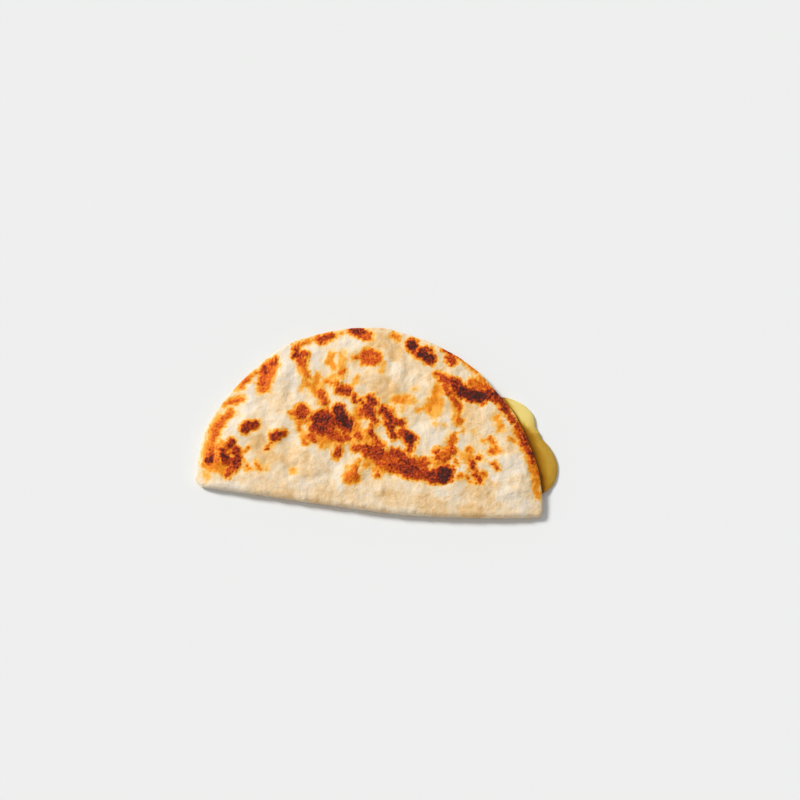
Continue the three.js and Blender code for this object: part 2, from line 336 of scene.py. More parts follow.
# %% Strokes of the long band across the middle
LONG_BAND = [
    (RUST, 2.0, (-11, 36.2), (-8, 37)),
    (BROWN, 3.6, (-3.7, 35.6), (2.8, 34.6)),
    (RUST, 1.6, (2.3, 40.3), (4.8, 39.3)),
    (RUST, 5.2, (5.8, 31.4), (12.8, 29.8), (20.8, 28)),
    (BROWN, 1.6, (11, 29), (16.8, 27), (22.8, 26)),
    (RUST, 6.0, (21.8, 27.6), (27.8, 27)),
    (BROWN, 3.2, (22.8, 26.5), (30.8, 24.5), (36.8, 23.8)),
    (RUST, 1.8, (30.3, 33), (31.8, 32)),
    (BROWN, 2.2, (11.6, 35.8), (16.6, 34.6), (20, 32.4)),
    (BROWN, 3.9, (36.8, 24), (41.8, 25)),
    (CHAR, 3.1, (44, 27), (43.7, 24.6)),
    (DARK, 3.6, (42.6, 27.2), (42.4, 24.2)),
    (RUST, 1.3, (3.3, 24), (4.3, 21.8)),
    (GOLD, 1.1, (6.8, 24.5), (8.8, 24.2)),
    (BROWN, 1.2, (36.8, 39.3), (37.8, 39)),
    (RUST, 1.4, (37.8, 35), (38.8, 34.8)),
    (RUST, 1.6, (43.6, 35.6), (41.8, 33.4)),
    (ORANGE, 2.8, (39.3, 36), (43.3, 38.5)),
    (RUST, 2.2, (46.1, 41.6), (46.6, 40)),
    (ORANGE, 2.6, (44.6, 43.5), (45.8, 47.3)),
    (ORANGE, 1.4, (48.5, 34.6), (49.2, 32.6)),
    (GOLD, 1.0, (48.3, 50.5), (51.3, 53)),
    (GOLD, 1.4, (35.3, 32.5), (38.8, 31.5)),
    (ORANGE, 3.8, (-12.2, 18.8), (-9.4, 19.8)),
    (ORANGE, 1.6, (-8.8, 25), (-8.4, 20)),
    (GOLD, 1.8, (-10.2, 26), (-7.7, 29)),
    (GOLD, 1.0, (-14.2, 25), (-12.2, 25.4)),
    (GOLD, 1.6, (-4.2, 26.5), (-1.2, 27.5)),
]
print(len(LONG_BAND), "strokes")

# %% Strokes at the right end
RIGHT_END = [
    (ORANGE, 1.6, (55.8, 41.8), (56.8, 40.4)),
    (GOLD, 1.3, (56.1, 37.6), (56.6, 35.6)),
    (BROWN, 1.1, (59.8, 36.3), (61.8, 37)),
    (BROWN, 1.2, (58.1, 34.2), (58.8, 31.2)),
    (RUST, 0.8, (59.4, 30), (60.6, 28)),
    (BROWN, 0.9, (60.8, 27), (61.4, 26.5)),
    (BROWN, 1.1, (62.8, 26), (63.2, 23.4)),
    (RUST, 1.0, (65.5, 27.8), (66.3, 27.4)),
    (GOLD, 1.0, (58.3, 22.4), (60.8, 22.6)),
    (ORANGE, 1.3, (51.8, 24.4), (53.4, 25.4)),
    (RUST, 0.8, (55.8, 25.3), (56.4, 24.6)),
    (ORANGE, 1.5, (66.8, 49.2), (69.8, 47)),
    (GOLD, 1.0, (63.1, 48.2), (64.8, 48)),
    (ORANGE, 0.9, (70.6, 45.6), (71.6, 43.4)),
    (RUST, 0.9, (68.1, 41.8), (70.1, 42.6)),
    (GOLD, 1.1, (72.3, 41.6), (74.3, 42.6)),
    (RUST, 0.9, (70.8, 34.6), (71.8, 33.6), (73.4, 31.4)),
    (BLUSH, 0.8, (65.1, 36.8), (66.1, 36.4)),
    (BLUSH, 0.8, (62.5, 41.6), (63.4, 41.4)),
    (RUST, 1.3, (32.3, 85.8), (35.3, 84)),
    (BROWN, 2.3, (36.8, 82.8), (41.3, 81.5)),
    (DARK, 3.2, (44.8, 80), (47.3, 77.3)),
    (CHAR, 3.0, (48.8, 76.2), (53.8, 74.6), (60, 73.8)),
    (DARK, 2.8, (57.8, 74.8), (63.8, 76)),
    (BROWN, 3.0, (63.8, 76.4), (68.3, 75.6)),
    (RUST, 1.8, (61.3, 81.5), (66.8, 78.5)),
    (DARK, 1.7, (68.3, 77), (71.3, 73.4), (74, 70)),
    (BROWN, 1.3, (73.8, 69), (77.3, 65), (80, 61.8)),
    (ORANGE, 3.0, (54.2, 82.4), (57.8, 81.6)),
    (RUST, 1.8, (38.8, 78.5), (41.3, 74.8)),
    (RUST, 1.5, (43.8, 72), (46.3, 69.3), (48, 66)),
    (GOLD, 1.1, (47.8, 64), (48, 61)),
    (ORANGE, 1.7, (48.6, 59), (49.1, 57.6)),
    (GOLD, 1.5, (70.6, 64), (69.8, 60.5)),
    (GOLD, 1.1, (72.8, 58), (72, 54.5)),
    (GOLD, 1.5, (79.8, 50.6), (81.4, 49.6)),
    (ORANGE, 1.8, (82.3, 57), (86.4, 49.5), (89.4, 44.5)),
    (DARK, 0.7, (82.2, 60), (87, 53.2), (91.6, 46.4), (93.4, 42.4)),
    (BROWN, 1.1, (86, 51), (90.6, 44.6), (93.6, 38.4)),
    (ORANGE, 1.0, (93.4, 41.4), (96.4, 33), (98.4, 26)),
    (GOLD, 2.0, (91.8, 38), (94.8, 30), (98.2, 18)),
    (BROWN, 2.1, (39.8, 96.2), (41.2, 94.8)),
    (BROWN, 0.9, (36.3, 101), (39.8, 99.6)),
    (CHAR, 2.4, (16.8, 103), (17.4, 101.2)),
    (DARK, 1.1, (23.8, 100.2), (27.8, 99.6)),
    (CHAR, 2.5, (22.8, 98), (25.2, 96.4), (28.2, 94.4)),
    (BROWN, 1.2, (18.3, 97.6), (20.8, 96.6)),
    (ORANGE, 0.8, (42.8, 98), (52.8, 92), (60.8, 85)),
]
print(len(RIGHT_END), "strokes")

# %% [markdown]
# Round each group of patches the dough is golden for several millimetres more. Broad strokes of
# the palest stage give that glow.

# %% Glow round the groups
GLOW = [
    (BLUSH, 4.0, (35, 76), (34, 62)),
    (BLUSH, 2.6, (45, 68), (47, 58)),
    (BLUSH, 4.0, (-11, 48), (1, 42)),
    (BLUSH, 3.2, (-41, 42), (-27, 37)),
    (BLUSH, 2.4, (-23, 93), (-23, 78)),
    (BLUSH, 2.6, (-37, 72), (-27, 78)),
    (BLUSH, 2.4, (9, 67), (21, 68)),
    (BLUSH, 3.0, (-11, 58), (-12, 50)),
    (BLUSH, 2.8, (56, 82), (63, 80)),
    (BLUSH, 2.2, (69, 62), (75, 56)),
    (BLUSH, 3.2, (-92, 48), (-96, 28)),
    (BLUSH, 2.2, (-84, 66), (-77, 74)),
    (FAINT, 3.0, (-72, 20), (-60, 20)),
    (BLUSH, 2.8, (53, 38), (61, 28)),
    (BLUSH, 2.0, (66, 49), (72, 42)),
    (BLUSH, 3.0, (-48, 86), (-44, 76)),
    (BLUSH, 2.4, (-3, 31), (3, 26)),
    (BLUSH, 2.6, (86, 48), (95, 32)),
]
UPPER_STROKES = GLOW + LEFT_END + UPPER_LEFT + DARK_PATCH + ABOVE_BAND + LONG_BAND + RIGHT_END
print(len(UPPER_STROKES), "strokes on the upper layer")

# %% [markdown]
# The underside was toasted the same way, but it lies on the surface, so its patches may be anywhere.
# They are drawn by lot, in clusters, because neighbouring bubbles touch the pan together. In the
# sheet's own frame the lower layer goes on past the fold, so its strokes have a negative y.

# %% Strokes on the underside
def underside_strokes(clusters=11, seed=5):
    """Clusters at random places of the lower half disc, with random strokes round each."""
    chance = np.random.default_rng(seed)
    strokes = []
    for _ in range(clusters):
        angle, out = chance.uniform(0.18, 0.82) * np.pi, RADIUS * chance.uniform(0.5, 0.9)
        centre = np.array([out * math.cos(angle), -out * math.sin(angle)])
        for _ in range(chance.integers(3, 8)):
            start = centre + chance.normal(0, 7, 2)
            heading = chance.uniform(0, 2 * np.pi)
            length = chance.uniform(1, 10)
            end = start + length * np.array([math.cos(heading), math.sin(heading)])
            heat = chance.choice([ORANGE, RUST, BROWN, DARK, CHAR])
            strokes.append((heat, chance.uniform(1.2, 3.8), tuple(start), tuple(end)))
    return strokes


LOWER_STROKES = underside_strokes()
print(len(LOWER_STROKES), "strokes on the underside")

# %% [markdown]
# Between the marks the dough isn't one colour either. Dry flour leaves some of it white, and fat
# from the cheese makes some of it tan, in soft shapes. Some of the white is painted highlight, on
# raised ridges and on the lit side of a bubble. These strokes have an amount for a heat.

# %% Strokes of flour and painted highlights, and of grease
# White strokes: dry flour, and partly painted highlights on the raised ridges of the upper left and
# the middle, and on the lit left side of the bubble near the fold.
FLOUR_AND_HIGHLIGHT_STROKES = [
    (0.45, 3.0, (-57.2, 93), (-52.2, 80), (-47.2, 66)),
    (0.45, 2.5, (-40.2, 98), (-39.2, 85)),
    (0.5, 3.5, (-74.2, 70), (-75.2, 54)),
    (0.4, 3.0, (-85.2, 48), (-81.2, 40)),
    (0.5, 2.2, (-19.2, 27), (-17.2, 13)),
    (0.4, 4.0, (-21.2, 100), (-13.2, 99)),
    (0.4, 4.0, (20.8, 47), (30.8, 54)),
    (0.4, 4.0, (34.8, 46), (40.8, 58)),
    (0.5, 2.6, (5.8, 45), (12.8, 40)),
    (0.4, 7.0, (74.8, 32), (90.8, 38)),
    (0.35, 4.0, (50.8, 42), (51.8, 31)),
    (0.2, 3.0, (0.8, 92), (10.8, 86)),
    (0.4, 4.0, (-94.2, 6), (-79.2, 6)),
    (0.3, 5.0, (78.8, 18), (90.8, 10)),
]
GREASE_STROKES = [
    (0.5, 6.0, (-66.2, 34), (-62.2, 26)),
    (0.3, 7.0, (-49.2, 30), (-35.2, 22)),
    (0.45, 7.0, (-4.2, 80), (4.8, 73)),
    (0.15, 5.0, (-59.2, 8), (-49.2, 6)),
    (0.25, 5.0, (10.8, 10), (40.8, 6)),
    (0.3, 3.5, (57.8, 6), (64.8, 5)),
    (0.45, 5.0, (-6.2, 103), (8.8, 102), (8.8, 96)),
    (0.3, 5.0, (-65.2, 64), (-57.2, 58)),
    (0.3, 4.0, (40.8, 88), (30.8, 82)),
    (0.25, 6.0, (60.8, 16), (70.8, 20)),
    (0.12, 6.0, (52, 68), (58, 58)),
]
print(len(FLOUR_AND_HIGHLIGHT_STROKES), "strokes of flour,", len(GREASE_STROKES), "of grease")

# %% [markdown]
# The heat at a point is worked out from how far it lies from each stroke. A dark stroke has a
# quick edge, a ring a millimetre or so wide from brown to orange, and a paler one has a softer
# edge, because dough goes golden well before it scorches. Past the edge is a faint halo with dots
# in it. Unevenness and blisters push the points about first, so that no edge stays smooth.

# %% Distance to a stroke
def stroke_distance(x, y, points):
    """Distance to a stroke: the least over its pieces, each to the nearest point on a line."""
    points = np.array(points, float)
    ends = points[1:] if len(points) > 1 else points
    nearest = np.full(np.shape(x), np.inf)
    for a, b in zip(points, ends):
        along = b - a
        share = ((x - a[0]) * along[0] + (y - a[1]) * along[1]) / max(along @ along, 1e-9)
        share = np.clip(share, 0, 1)
        apart = np.hypot(x - a[0] - share * along[0], y - a[1] - share * along[1])
        nearest = np.minimum(nearest, apart)
    return nearest


here = np.array(0.0)
print("from (0, 0) to the band:", np.round(stroke_distance(here, here, LONG_BAND[1][2:]), 1), "mm")

# %% Heat of the browning
BIG_BLISTER, SMALL_BLISTER = 3.3, 1.8  # the patches' edges follow blisters of these sizes
QUICK_EDGE = 0.6  # half the width of a dark stroke's edge
SOFTENING = 3.2  # what is added to it for each step of heat below brown
HALO_REACH = 3.8  # past a stroke
HALO_SHARE, DOT_SHARE = 0.42, 0.26  # of a stroke's heat, in its halo and more in the halo's dots


def browning(x, y):
    """Heat from 0 to about 1 at sheet places: the strokes' heats, joined as the fourth root of
    the sum of their fourth powers, so that where strokes meet the hotter one wins softly."""
    ragged_x = x + 0.9 * unevenness(x, y, 4.5, 11)
    ragged_y = y + 0.9 * unevenness(x, y, 4.5, 17)
    big, small = blisters(x, y, BIG_BLISTER, 21), blisters(x, y, SMALL_BLISTER, 23)
    lobes = 1.6 * big + 0.7 * small - 1.1
    dots = smooth_step(0.5, 0.85, blisters(x, y, 2.3, 25))
    total = np.zeros(np.shape(x))
    for heat, half_width, *points in UPPER_STROKES + LOWER_STROKES:
        apart = stroke_distance(ragged_x, ragged_y, points) - half_width - lobes
        softness = QUICK_EDGE + SOFTENING * max(0.0, BROWN - heat)
        core = 1 - smooth_step(-softness, softness, apart)
        halo = 1 - smooth_step(0.0, HALO_REACH, apart)
        total += (heat * core) ** 4 + ((HALO_SHARE * heat + DOT_SHARE * heat * dots) * halo) ** 4
    mottle = 0.32 * (small - 0.42) + 0.12 * unevenness(x, y, 3.0, 27)
    return total**0.25 * (1 + mottle)


band_x, band_y = np.mgrid[10:30:0.5, 25:32:0.5]
print("mean heat of the band:", np.round(browning(band_x, band_y).mean(), 2))

# %% Flour, painted highlights and grease
def warmth_of(x, y):
    """0 where the dough is floury and white or carries a painted highlight, 1 where it is greasy
    and tan: slow unevenness, with the flour and highlight strokes taken off and the grease ones
    added."""
    ragged_x = x + 2.0 * unevenness(x, y, 6.0, 65)
    ragged_y = y + 2.0 * unevenness(x, y, 6.0, 67)
    warmth = 0.5 + 0.3 * unevenness(x, y, 13.0, 61) + 0.22 * unevenness(x, y, 4.0, 63)
    for sign, strokes in ((-1, FLOUR_AND_HIGHLIGHT_STROKES), (1, GREASE_STROKES)):
        for amount, half_width, *points in strokes:
            apart = stroke_distance(ragged_x, ragged_y, points) - half_width
            warmth = warmth + sign * amount * (1 - smooth_step(-2.0, 2.0, apart))
    return np.clip(warmth, 0, 1)


near_fold = warmth_of(band_x, band_y - 18)
print("mean warmth between the fold and the band:", np.round(near_fold.mean(), 2))

# %% [markdown]
# ## Bubbles and creases
#
# Steam lifts the sheet into low bubbles while it toasts. They could be random everywhere, but a
# few stand out, so those are listed one by one on top of slow unevenness, and the browned patches
# get blisters of their own. Near the fold the dough is stretched, and fine creases run across it.

# %% Broad bubbles
BUBBLES = [  # x, y, radius and height
    (-11, 21, 10, 1.3), (4, 13, 7, 0.5), (-57, 42, 8, 0.7), (-74, 46, 9, 0.8), (19, 47, 6, 0.6),
    (55, 84, 6, 0.7), (-60, 74, 14, 0.7), (-3, 80, 15, 0.8), (-22, 56, 10, 0.6), (43, 27, 8, 0.5),
    (60, 60, 12, 0.7), (84, 38, 10, 0.6), (-86, 25, 10, 0.6), (24, 97, 9, 0.5), (-46, 90, 9, 0.5),
    (-66, 16, 12, 0.5), (70, 14, 14, 0.5), (30, 48, 9, 0.6), (-38, 22, 12, 0.5), (12, 90, 10, 0.5),
]


def bubbles(x, y):
    """Height of the broad relief: slow unevenness, the bubbles above as cosine hills, and white
    finger-like folds that run from the open edge towards the fold."""
    height = 0.7 * unevenness(x, y, 24.0, 31, 1) + 1.0 * unevenness(x, y, 10.0, 33)
    height = height + 0.45 * unevenness(x, y * 0.35, 6.0, 35)
    for bubble_x, bubble_y, radius, rise in BUBBLES:
        share = np.clip(np.hypot(x - bubble_x, y - bubble_y) / radius, 0, 1)
        height = height + rise * (0.5 + 0.5 * np.cos(np.pi * share))
    return height


layer_x, layer_y = np.mgrid[-60:60, 20:90]
print("broad relief over", np.round(np.ptp(bubbles(layer_x, layer_y)), 1), "mm")

# %% Fine skin
def skin(x, y, heat):
    """Height of the fine relief: pores and blisters a few millimetres across, rougher where the
    dough is browned, creases across the fold, and here and there a field of fine wrinkles."""
    grain = 0.26 * unevenness(x, y, 5.0, 41) + 0.10 * unevenness(x, y, 2.2, 43, 1)
    grain = grain + 0.28 * blisters(x, y, 6.0, 49) ** 2
    toasted = heat * (0.12 + 0.30 * blisters(x, y, 3.3, 21) + 0.16 * blisters(x, y, 1.7, 23))
    creases = 0.10 * unevenness(x, y / 5, 3.2, 47) * (1 - smooth_step(4, 22, np.abs(y)))
    wrinkled = smooth_step(-0.3, 0.5, unevenness(x, y, 24.0, 48, 1))
    wrinkles = 0.16 * wrinkled * unevenness(x + 0.25 * y, y / 3, 2.8, 45)
    return grain + toasted + creases + wrinkles


print("fine relief over", np.round(np.ptp(skin(layer_x, layer_y, 0.0)), 1), "mm where it is pale")


# %% [markdown]
# ## Folding the sheet
#
# Every point of the flat disc is sent to its place in the folded one by one function. Measured
# from the fold, the sheet first goes round a bend, and then straight back as a layer. The point is
# then moved off the sheet's middle by its height in the dough. A simulation of cloth would fold it
# too, but it wouldn't end exactly where the solid is.

# %% The open edge
def open_edge(angle):
    """How far the edge lies outside the round one, in millimetres, at an angle in the disc."""
    x, y = RADIUS * np.cos(angle), RADIUS * np.sin(angle)
    return 0.55 * unevenness(x, y, 14.0, 51) + 0.30 * unevenness(x, y, 4.0, 53)


HELD_ANGLE, HELD_SPREAD = 0.40, 0.36  # where the cheese has run out, in radians from the right


def edge_sag(angle, from_edge):
    """How far the upper layer's edge has sunk towards the lower one. It sinks most where no
    cheese holds it up, and not at all over the cheese that has run out at the right."""
    x, y = RADIUS * np.cos(angle), RADIUS * np.sin(angle)
    soft = 0.62 + 0.38 * unevenness(x, y, 16.0, 55)
    held = np.exp(-(((angle - HELD_ANGLE) / HELD_SPREAD) ** 2))
    return GAP * soft * (1 - 0.85 * held) * (1 - smooth_step(0, 15, from_edge))


print("sag of the open edge at the back:", np.round(edge_sag(np.pi / 2, 0.0), 1), "of", GAP, "mm")

# %% The folded sheet
def fold_sheet(s, t, across):
    """Places of points of the disc in the fold's frame. s and t are shares of the radius, along
    the fold and away from it, with t below 0 in the lower layer. across is the height above
    the middle of the dough, towards the outside. Returns the places, and x and y in the sheet."""
    upper, side = t > 0, np.where(t > 0, 1, -1)
    rho, angle = np.hypot(s, t), np.arctan2(np.abs(t), s)
    grown = 1 + open_edge(np.arctan2(t, s)) / RADIUS * rho**12
    x = RADIUS * s * grown
    # Round the bend first, and what is left of the way to the fold goes straight back.
    from_fold = RADIUS * depth_share(s, upper) * np.abs(t) * grown
    bend = bend_radius(s)
    turn = np.minimum(from_fold / bend, np.pi / 2)
    straight = np.clip(from_fold - bend * np.pi / 2, 0, None)
    sheet_y = fold_line(s) + side * from_fold

    # The cheese crowns the upper layer and bubbles lift it, and its edge sags. The lower layer
    # lies flat, but its edge curls up a little here and there.
    share = np.abs(t) / np.maximum(half_chord(s), 1e-6)
    from_edge = RADIUS * (1 - rho)
    crown = CROWN * half_chord(s) * np.sin(np.pi * np.clip(share, 0, 1))
    relief = bubbles(x, sheet_y) * smooth_step(2, 16, from_fold) * smooth_step(-4, 7, from_edge)
    lift = np.where(upper, crown + relief - edge_sag(angle, from_edge), 0)
    curl = 0.5 * (1 + unevenness(x, sheet_y, 18.0, 57)) * (1 - smooth_step(0, 9, from_edge))
    lift = np.where(upper, lift, curl * smooth_step(4, 20, from_fold))

    y = fold_line(s) + LAYER / 2 + bend * (1 - np.cos(turn)) + straight - across * np.cos(turn)
    z = LAYER / 2 + bend + side * (bend + across) * np.sin(turn) + lift
    return np.stack([x, y, z], axis=-1), x, sheet_y


quarter = fold_sheet(np.array(0.0), np.array(0.5), 0.0)[0]
print("half way back in the upper layer:", np.round(quarter, 1))


# %% [markdown]
# ## The tortilla's mesh
#
# A disc could be a fan of rings, but its faces would be tiny at the centre and long at the edge. A
# square grid pushed out to a circle has even faces everywhere. The outside takes a fine grid, the
# inside a grid half as fine, because only its edge shows, and a rounded rim joins the two.

# %% A square grid as a disc
def disc_grid(cells):
    """s and t of a square grid sent to the unit disc: each square ring becomes a circle whose
    radius is the ring's half side, and the place along a side becomes the angle."""
    a, b = np.meshgrid(np.linspace(-1, 1, cells + 1), np.linspace(-1, 1, cells + 1))
    wide = np.abs(a) >= np.abs(b)
    radius = np.where(wide, a, b)
    safe = np.where(radius == 0, 1, radius)
    angle = np.where(wide, np.pi / 4 * b / safe, np.pi / 2 - np.pi / 4 * a / safe)
    return (radius * np.cos(angle)).ravel(), (radius * np.sin(angle)).ravel()


print("vertices of a disc of 4 by 4 cells:", disc_grid(4)[0].size)

# %% Faces of grids and rings
def grid_faces(cells, start, turned=False):
    """Four corners of every cell of a grid whose first vertex is start, seen from outside."""
    corner = start + np.arange(cells)[:, None] * (cells + 1) + np.arange(cells)[None, :]
    faces = np.stack([corner, corner + 1, corner + cells + 2, corner + cells + 1], axis=-1)
    return faces.reshape(-1, 4)[:, ::-1] if turned else faces.reshape(-1, 4)


def grid_border(cells, start):
    """The grid's border vertices in order, turning left."""
    side = np.arange(cells)
    bottom, right = side, cells + side * (cells + 1)
    top = (cells + 1) * cells + cells - side
    left = (cells + 1) * (cells - side)
    return start + np.concatenate([bottom, right, top, left])


def ring_faces(outer, inner):
    """Four corners of every face between two rings of vertices with the same count."""
    return np.stack([outer, inner, np.roll(inner, -1), np.roll(outer, -1)], axis=-1)


def coarsening_faces(fine, coarse):
    """Three triangles for every edge of a ring that meets a ring with twice as many."""
    first, middle, last = fine[0::2], fine[1::2], np.roll(fine, -2)[0::2]
    near, far = coarse, np.roll(coarse, -1)
    return np.concatenate([
        np.stack([first, near, middle], axis=-1),
        np.stack([middle, near, far], axis=-1),
        np.stack([middle, far, last], axis=-1),
    ])


print("border of a disc of 4 by 4 cells:", grid_border(4, 0).size)

# %% A piece from arrays
def add_piece(name, points, faces, attributes):
    """A mesh object from arrays: places in the fold's frame in millimetres, faces, and one value
    for each vertex and attribute."""
    mesh = bpy.data.meshes.new(name)
    mesh.from_pydata((points + FOLD_MIDDLE) * MM, [], faces)
    for key, values in attributes.items():
        attribute = mesh.attributes.new(key, "FLOAT", "POINT")
        attribute.data.foreach_set("value", values.astype(np.float32))
    mesh.polygons.foreach_set("use_smooth", np.ones(len(mesh.polygons), bool))
    mesh.update()
    piece = bpy.data.objects.new(name, mesh)
    bpy.context.scene.collection.objects.link(piece)
    return piece


print("the fold's frame starts at", np.round(FOLD_MIDDLE, 1), "mm")

# %% Surface of the tortilla
CELLS = 256  # along each side of the outside grid
RIM_ROWS = 5  # of vertices round the half circle of the open edge


def dough_half(from_edge):
    """Half the dough's thickness, which thins towards the open edge."""
    return LAYER / 2 * (THIN_EDGE + (1 - THIN_EDGE) * smooth_step(0, 12, from_edge))


def tortilla_surface():
    """Outside grid, rim rows and inside grid, one after the other."""
    rim_half = float(dough_half(np.array(0.0)))
    flat = 1 - rim_half / RADIUS
    s, t = disc_grid(CELLS)
    border = grid_border(CELLS, 0)
    rows_s, rows_t, rows_up = [s * flat], [t * flat], [np.ones(s.size)]
    for turn in np.pi * np.arange(1, RIM_ROWS + 1) / (RIM_ROWS + 1):
        reach = flat + (1 - flat) * math.sin(turn)
        rows_s.append(s[border] * reach)
        rows_t.append(t[border] * reach)
        rows_up.append(np.full(border.size, math.cos(turn)))
    s, t = disc_grid(CELLS // 2)
    rows_s.append(s * flat)
    rows_t.append(t * flat)
    rows_up.append(-np.ones(s.size))
    return np.concatenate(rows_s), np.concatenate(rows_t), np.concatenate(rows_up)


def tortilla_faces():
    """Faces of the outside, the rim, the ring where the grid coarsens, and the inside."""
    outside, rim = (CELLS + 1) ** 2, 4 * CELLS
    rings = [grid_border(CELLS, 0)]
    rings += [outside + row * rim + np.arange(rim) for row in range(RIM_ROWS)]
    inside = outside + RIM_ROWS * rim
    quads = [grid_faces(CELLS, 0), grid_faces(CELLS // 2, inside, turned=True)]
    quads += [ring_faces(a, b) for a, b in zip(rings, rings[1:])]
    triangles = coarsening_faces(rings[-1], grid_border(CELLS // 2, inside))
    return np.concatenate(quads).tolist() + triangles.tolist()


print("open edge", 2 * float(dough_half(0.0)), "mm thick,", len(tortilla_faces()), "faces")

# %% The tortilla
s, t, up = tortilla_surface()
_, sheet_x, sheet_y = fold_sheet(s, t, np.zeros(s.size))
heat = browning(sheet_x, sheet_y) * (up > -0.3)
from_edge = RADIUS * (1 - np.hypot(s, t))
relief = skin(sheet_x, sheet_y, heat) * (up > 0.99) * smooth_step(0.5, 3, from_edge)
relief = np.where(t > 0, relief, -np.abs(relief) - 0.1)  # inwards below, where it lies flat
points, _, _ = fold_sheet(s, t, up * dough_half(from_edge) + relief * (up > 0.99))
points[:, 2] = np.clip(points[:, 2], 0, None)

warmth = warmth_of(sheet_x, sheet_y)
values = {"browning": heat, "warmth": warmth}
tortilla = add_piece("folded_tortilla", points, tortilla_faces(), values)
print("tortilla:", len(tortilla.data.vertices), "vertices,", len(tortilla.data.polygons), "faces")

# %% [markdown]
# ## The cheese
#
# Melted cheese fills the fold from the bend to a few millimetres inside the open edge, and at the
# right it has run out as a tongue of two lobes, lying on the surface. It is made as rays from one
# point inside, each with the same rings: along the underside, round the front, and back over the
# top. Where the rays stay inside, the front is a low bulge between the layers.

# %% Where the rays end
CENTRE = np.array([4.0, 48.0])  # the rays start here, between the layers
RAYS = 480
BEND_END = 3.4  # the cheese stops this far inside the fold's outermost line
OVERLAP = 0.15  # how far it is sunk into the dough that it sticks to


def reach_inside(angle, upper):
    """How far each ray goes before it meets a layer's open edge, or the end of the bend at the
    fold: a bisection on all rays at once."""
    near, far = np.zeros(angle.size), np.full(angle.size, 2 * RADIUS)
    for _ in range(40):
        middle = (near + far) / 2
        x, y = CENTRE[0] + middle * np.cos(angle), CENTRE[1] + middle * np.sin(angle)
        s = x / RADIUS
        from_fold = y - fold_line(np.clip(s, -1, 1))
        t = from_fold / (RADIUS * depth_share(np.clip(s, -1, 1), upper))
        within = (np.hypot(s, t) < 1) & (from_fold > BEND_END)
        near, far = np.where(within, middle, near), np.where(within, far, middle)
    return near


def layer_inside(x, y):
    """z of the upper layer's inner face over a place in the fold's frame."""
    s = np.clip(x / RADIUS, -0.999, 0.999)
    t = (y - fold_line(s)) / (RADIUS * depth_share(s, True))
    over = np.hypot(s, t)
    t = t / np.maximum(over, 1)
    inner = -dough_half(RADIUS * (1 - np.hypot(s, t)))
    return fold_sheet(s / np.maximum(over, 1), np.maximum(t, 0.03), inner)[0][..., 2]


def stuck_height(angle, distance):
    """z of a cheese that sticks to the upper layer, at a distance along each ray."""
    x, y = CENTRE[0] + distance * np.cos(angle), CENTRE[1] + distance * np.sin(angle)
    return layer_inside(x, y) + OVERLAP


to_right = reach_inside(np.zeros(1), True)
print("open edge at the right:", np.round(to_right, 1), "mm from the centre")

# %% The front of the cheese
LOBES = [(13.0, 10.0, 10.8), (-4.0, 12.5, 13.2)]  # angle, half its width, reach past the edge
RECESS, RECESS_SPREAD = 2.6, 2.2  # from the open edge to the cheese, and how that varies


def cheese_front(angle, lower, upper):
    """Distance of the front along each ray, of the body behind it, and whether it lies on the
    surface. The front stops inside the open edge, but for two lobes, each a flattened arch."""
    around = np.degrees(angle)
    x, y = RADIUS * np.cos(angle), RADIUS * np.sin(angle)
    recess = RECESS + RECESS_SPREAD * unevenness(x, y, 13.0, 71)
    blunt = np.where(around < LOBES[-1][0], 0.9, 0.7)  # less so on the far side of the last lobe
    lobes = [
        (reach + recess) * np.clip(1 - ((around - middle) / half) ** 2, 0, 1) ** blunt
        for middle, half, reach in LOBES
    ]
    out = np.hypot(*lobes)
    nearest = np.min([np.abs(around - middle) / half for middle, half, _ in LOBES], axis=0)
    landed = 1 - smooth_step(0.62, 0.95, nearest)
    tip = np.where(out > 0, upper - recess + out, lower - recess)
    tip = tip + np.where(out > 0, 0.35 * unevenness(x, y, 5.0, 73), 0)
    return tip, np.minimum(lower - recess, tip) - 1.5, landed


tip, body, landed = cheese_front(np.zeros(1), to_right, to_right)
print("the tongue reaches", np.round(tip - to_right, 1), "mm past the open edge")

# %% Rings of the cheese
def rings_below(lower, tip, body, landed, edge_z):
    """Distances and heights along the underside: on the lower layer, then a step down to the
    surface where the cheese has run out, and up round the front's lower half."""
    bottom = LAYER - OVERLAP
    flat = np.full(body.size, bottom)
    step = np.minimum(lower + 0.3, body + 0.5 * (tip - body))
    foot = np.minimum(lower + 1.2, body + 0.75 * (tip - body))
    floor = bottom * (1 - landed)
    rings = [(0 * body, flat), (0.5 * body, flat), (body, flat), (step, flat), (foot, floor)]
    for share, height in ((0.55, 0.0), (0.86, 0.04), (0.97, 0.45)):
        rings.append((foot + share * (tip - foot), floor + height * (edge_z - floor)))
    return rings + [(tip, edge_z)]


def rings_above(angle, upper, tip, body, edge_z):
    """Distances and heights back over the top: a plump curve where the cheese has run out, which
    dips under the open edge, and then along the upper layer."""
    rings = []
    for share in (0.985, 0.95, 0.88, 0.78, 0.66, 0.52, 0.38, 0.24, 0.12, 0.0):
        distance = body + share * (tip - body)
        mouth = stuck_height(angle, np.minimum(distance, upper - 0.5))
        past = np.clip((distance - upper + 1.5) / np.maximum(tip - upper + 1.5, 0.1), 0, 1)
        sunk = mouth - 1.1 * smooth_step(-1.5, 1.0, distance - upper)
        plump = edge_z + (sunk - edge_z) * (1 - past**2.8) ** 0.5
        rings.append((distance, np.minimum(plump, mouth)))
    for share in (0.8, 0.6, 0.4, 0.2, 0.0):
        rings.append((share * body, stuck_height(angle, share * body)))
    return rings


